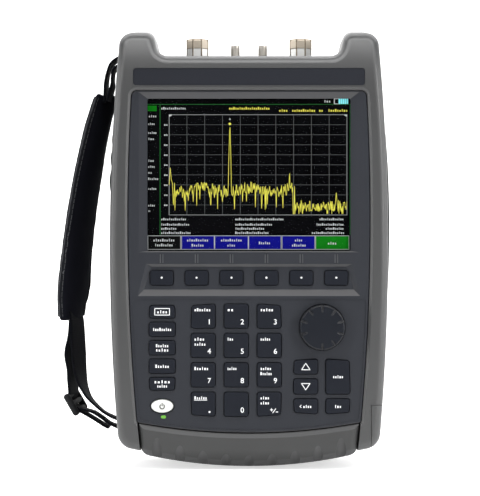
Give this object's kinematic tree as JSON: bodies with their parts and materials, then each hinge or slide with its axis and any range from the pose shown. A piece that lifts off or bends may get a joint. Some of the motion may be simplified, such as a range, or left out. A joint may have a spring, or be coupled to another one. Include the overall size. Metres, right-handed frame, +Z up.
{
  "type": "handheld microwave analyzer",
  "caption": "Upright handheld radio-frequency analyzer with a colour screen, soft keys, a number keypad, a rotary knob, coaxial connectors between two ears and a padded hand strap.",
  "frame": {"origin": "middle of the flat on which the bottom bumper stands, half way through the case's depth", "axes": "+Z up towards the connectors, +X to the viewer's right, -Y out of the screen"},
  "size_m": [0.2202, 0.0765, 0.292],
  "materials": {
    "case_plastic": "fine grained grey",
    "grip_rubber": "soft grey",
    "panel_plastic": "dark blue-grey, fine grained",
    "plate_plastic": "satin dark",
    "key_rubber": "satin near-black blue",
    "knob_plastic": "satin",
    "power_plastic": "white",
    "lamp_lens": "clear green",
    "window_glass": "clear",
    "display_face": "black display",
    "mat_rubber": "soft",
    "board_laminate": "green lacquer",
    "part_steel": "plain",
    "shield_aluminium": "plain",
    "port_metal": "passivated steel",
    "reference_metal": "gold plated",
    "socket_shell": "tinned",
    "battery_wrap": "wrap",
    "pad_rubber": "black",
    "stand_plastic": "dark grey",
    "sleeve_fabric": "black padded neoprene",
    "webbing_fabric": "black woven nylon",
    "buckle_plastic": "black moulded"
  },
  "bodies": {
    "case": {"front_bezel": "case_plastic", "name_plate": "plate_plastic", "front_panel": "panel_plastic", "screen_window": "window_glass", "display": "display_face", "power_lamp": "lamp_lens", "keypad_mat": "mat_rubber", "key_board": "board_laminate", "rotary_encoder": "part_steel", "left_grip": "grip_rubber", "right_grip": "grip_rubber", "rear_housing": "case_plastic", "rear_pads": "pad_rubber", "case_screws": "part_steel", "hinge_pins": "part_steel", "battery_pack": "battery_wrap", "main_board": "board_laminate", "radio_module": "shield_aluminium", "port_sockets": "socket_shell", "connector_plate": "shield_aluminium", "rf_ports": "port_metal", "reference_ports": "reference_metal", "bottom_bumper": "grip_rubber", "strap_sleeve": "sleeve_fabric", "strap_webbing": "webbing_fabric", "strap_buckle": "buckle_plastic"},
    "softkey_1": {"softkey_1": "key_rubber"},
    "softkey_2": {"softkey_2": "key_rubber"},
    "softkey_3": {"softkey_3": "key_rubber"},
    "softkey_4": {"softkey_4": "key_rubber"},
    "softkey_5": {"softkey_5": "key_rubber"},
    "softkey_6": {"softkey_6": "key_rubber"},
    "function_key_1": {"function_key_1": "key_rubber"},
    "function_key_2": {"function_key_2": "key_rubber"},
    "function_key_3": {"function_key_3": "key_rubber"},
    "function_key_4": {"function_key_4": "key_rubber"},
    "function_key_5": {"function_key_5": "key_rubber"},
    "number_key_1": {"number_key_1": "key_rubber"},
    "number_key_2": {"number_key_2": "key_rubber"},
    "number_key_3": {"number_key_3": "key_rubber"},
    "number_key_4": {"number_key_4": "key_rubber"},
    "number_key_5": {"number_key_5": "key_rubber"},
    "number_key_6": {"number_key_6": "key_rubber"},
    "number_key_7": {"number_key_7": "key_rubber"},
    "number_key_8": {"number_key_8": "key_rubber"},
    "number_key_9": {"number_key_9": "key_rubber"},
    "number_key_point": {"number_key_point": "key_rubber"},
    "number_key_0": {"number_key_0": "key_rubber"},
    "number_key_sign": {"number_key_sign": "key_rubber"},
    "up_key": {"up_key": "key_rubber"},
    "down_key": {"down_key": "key_rubber"},
    "back_key": {"back_key": "key_rubber"},
    "enter_key": {"enter_key": "key_rubber"},
    "escape_key": {"escape_key": "key_rubber"},
    "power_button": {"power_button": "power_plastic"},
    "knob": {"rotary_knob": "knob_plastic", "encoder_shaft": "part_steel"},
    "port_door": {"port_door": "grip_rubber"},
    "tilt_stand": {"tilt_stand": "stand_plastic"},
    "battery_door": {"battery_door": "case_plastic"}
  },
  "joints": [
    {"name": "softkey_1_press", "type": "slide", "parent": "case", "child": "softkey_1", "axis": [0, 1, 0], "range_m": [0, 0.001], "stiffness_N_per_m": 400},
    {"name": "softkey_2_press", "type": "slide", "parent": "case", "child": "softkey_2", "axis": [0, 1, 0], "range_m": [0, 0.001], "stiffness_N_per_m": 400},
    {"name": "softkey_3_press", "type": "slide", "parent": "case", "child": "softkey_3", "axis": [0, 1, 0], "range_m": [0, 0.001], "stiffness_N_per_m": 400},
    {"name": "softkey_4_press", "type": "slide", "parent": "case", "child": "softkey_4", "axis": [0, 1, 0], "range_m": [0, 0.001], "stiffness_N_per_m": 400},
    {"name": "softkey_5_press", "type": "slide", "parent": "case", "child": "softkey_5", "axis": [0, 1, 0], "range_m": [0, 0.001], "stiffness_N_per_m": 400},
    {"name": "softkey_6_press", "type": "slide", "parent": "case", "child": "softkey_6", "axis": [0, 1, 0], "range_m": [0, 0.001], "stiffness_N_per_m": 400},
    {"name": "function_key_1_press", "type": "slide", "parent": "case", "child": "function_key_1", "axis": [0, 1, 0], "range_m": [0, 0.001], "stiffness_N_per_m": 400},
    {"name": "function_key_2_press", "type": "slide", "parent": "case", "child": "function_key_2", "axis": [0, 1, 0], "range_m": [0, 0.001], "stiffness_N_per_m": 400},
    {"name": "function_key_3_press", "type": "slide", "parent": "case", "child": "function_key_3", "axis": [0, 1, 0], "range_m": [0, 0.001], "stiffness_N_per_m": 400},
    {"name": "function_key_4_press", "type": "slide", "parent": "case", "child": "function_key_4", "axis": [0, 1, 0], "range_m": [0, 0.001], "stiffness_N_per_m": 400},
    {"name": "function_key_5_press", "type": "slide", "parent": "case", "child": "function_key_5", "axis": [0, 1, 0], "range_m": [0, 0.001], "stiffness_N_per_m": 400},
    {"name": "number_key_1_press", "type": "slide", "parent": "case", "child": "number_key_1", "axis": [0, 1, 0], "range_m": [0, 0.001], "stiffness_N_per_m": 400},
    {"name": "number_key_2_press", "type": "slide", "parent": "case", "child": "number_key_2", "axis": [0, 1, 0], "range_m": [0, 0.001], "stiffness_N_per_m": 400},
    {"name": "number_key_3_press", "type": "slide", "parent": "case", "child": "number_key_3", "axis": [0, 1, 0], "range_m": [0, 0.001], "stiffness_N_per_m": 400},
    {"name": "number_key_4_press", "type": "slide", "parent": "case", "child": "number_key_4", "axis": [0, 1, 0], "range_m": [0, 0.001], "stiffness_N_per_m": 400},
    {"name": "number_key_5_press", "type": "slide", "parent": "case", "child": "number_key_5", "axis": [0, 1, 0], "range_m": [0, 0.001], "stiffness_N_per_m": 400},
    {"name": "number_key_6_press", "type": "slide", "parent": "case", "child": "number_key_6", "axis": [0, 1, 0], "range_m": [0, 0.001], "stiffness_N_per_m": 400},
    {"name": "number_key_7_press", "type": "slide", "parent": "case", "child": "number_key_7", "axis": [0, 1, 0], "range_m": [0, 0.001], "stiffness_N_per_m": 400},
    {"name": "number_key_8_press", "type": "slide", "parent": "case", "child": "number_key_8", "axis": [0, 1, 0], "range_m": [0, 0.001], "stiffness_N_per_m": 400},
    {"name": "number_key_9_press", "type": "slide", "parent": "case", "child": "number_key_9", "axis": [0, 1, 0], "range_m": [0, 0.001], "stiffness_N_per_m": 400},
    {"name": "number_key_point_press", "type": "slide", "parent": "case", "child": "number_key_point", "axis": [0, 1, 0], "range_m": [0, 0.001], "stiffness_N_per_m": 400},
    {"name": "number_key_0_press", "type": "slide", "parent": "case", "child": "number_key_0", "axis": [0, 1, 0], "range_m": [0, 0.001], "stiffness_N_per_m": 400},
    {"name": "number_key_sign_press", "type": "slide", "parent": "case", "child": "number_key_sign", "axis": [0, 1, 0], "range_m": [0, 0.001], "stiffness_N_per_m": 400},
    {"name": "up_key_press", "type": "slide", "parent": "case", "child": "up_key", "axis": [0, 1, 0], "range_m": [0, 0.001], "stiffness_N_per_m": 400},
    {"name": "down_key_press", "type": "slide", "parent": "case", "child": "down_key", "axis": [0, 1, 0], "range_m": [0, 0.001], "stiffness_N_per_m": 400},
    {"name": "back_key_press", "type": "slide", "parent": "case", "child": "back_key", "axis": [0, 1, 0], "range_m": [0, 0.001], "stiffness_N_per_m": 400},
    {"name": "enter_key_press", "type": "slide", "parent": "case", "child": "enter_key", "axis": [0, 1, 0], "range_m": [0, 0.001], "stiffness_N_per_m": 400},
    {"name": "escape_key_press", "type": "slide", "parent": "case", "child": "escape_key", "axis": [0, 1, 0], "range_m": [0, 0.001], "stiffness_N_per_m": 400},
    {"name": "power_button_press", "type": "slide", "parent": "case", "child": "power_button", "axis": [0, 1, 0], "range_m": [0, 0.001], "stiffness_N_per_m": 400},
    {"name": "knob_turn", "type": "hinge", "parent": "case", "child": "knob", "pos_m": [0.048, -0.034, 0.0934], "axis": [0, -1, 0], "continuous": true},
    {"name": "tilt_stand_swing", "type": "hinge", "parent": "case", "child": "tilt_stand", "pos_m": [0, 0.0312, 0.186], "axis": [1, 0, 0], "range_deg": [0, 50]},
    {"name": "port_door_swing", "type": "hinge", "parent": "case", "child": "port_door", "pos_m": [0.08747, 0.0125, 0.167], "axis": [0, 0, 1], "range_deg": [0, 100]},
    {"name": "battery_door_pull", "type": "slide", "parent": "case", "child": "battery_door", "axis": [1, 0, 0], "range_m": [0, 0.03]}
  ]
}
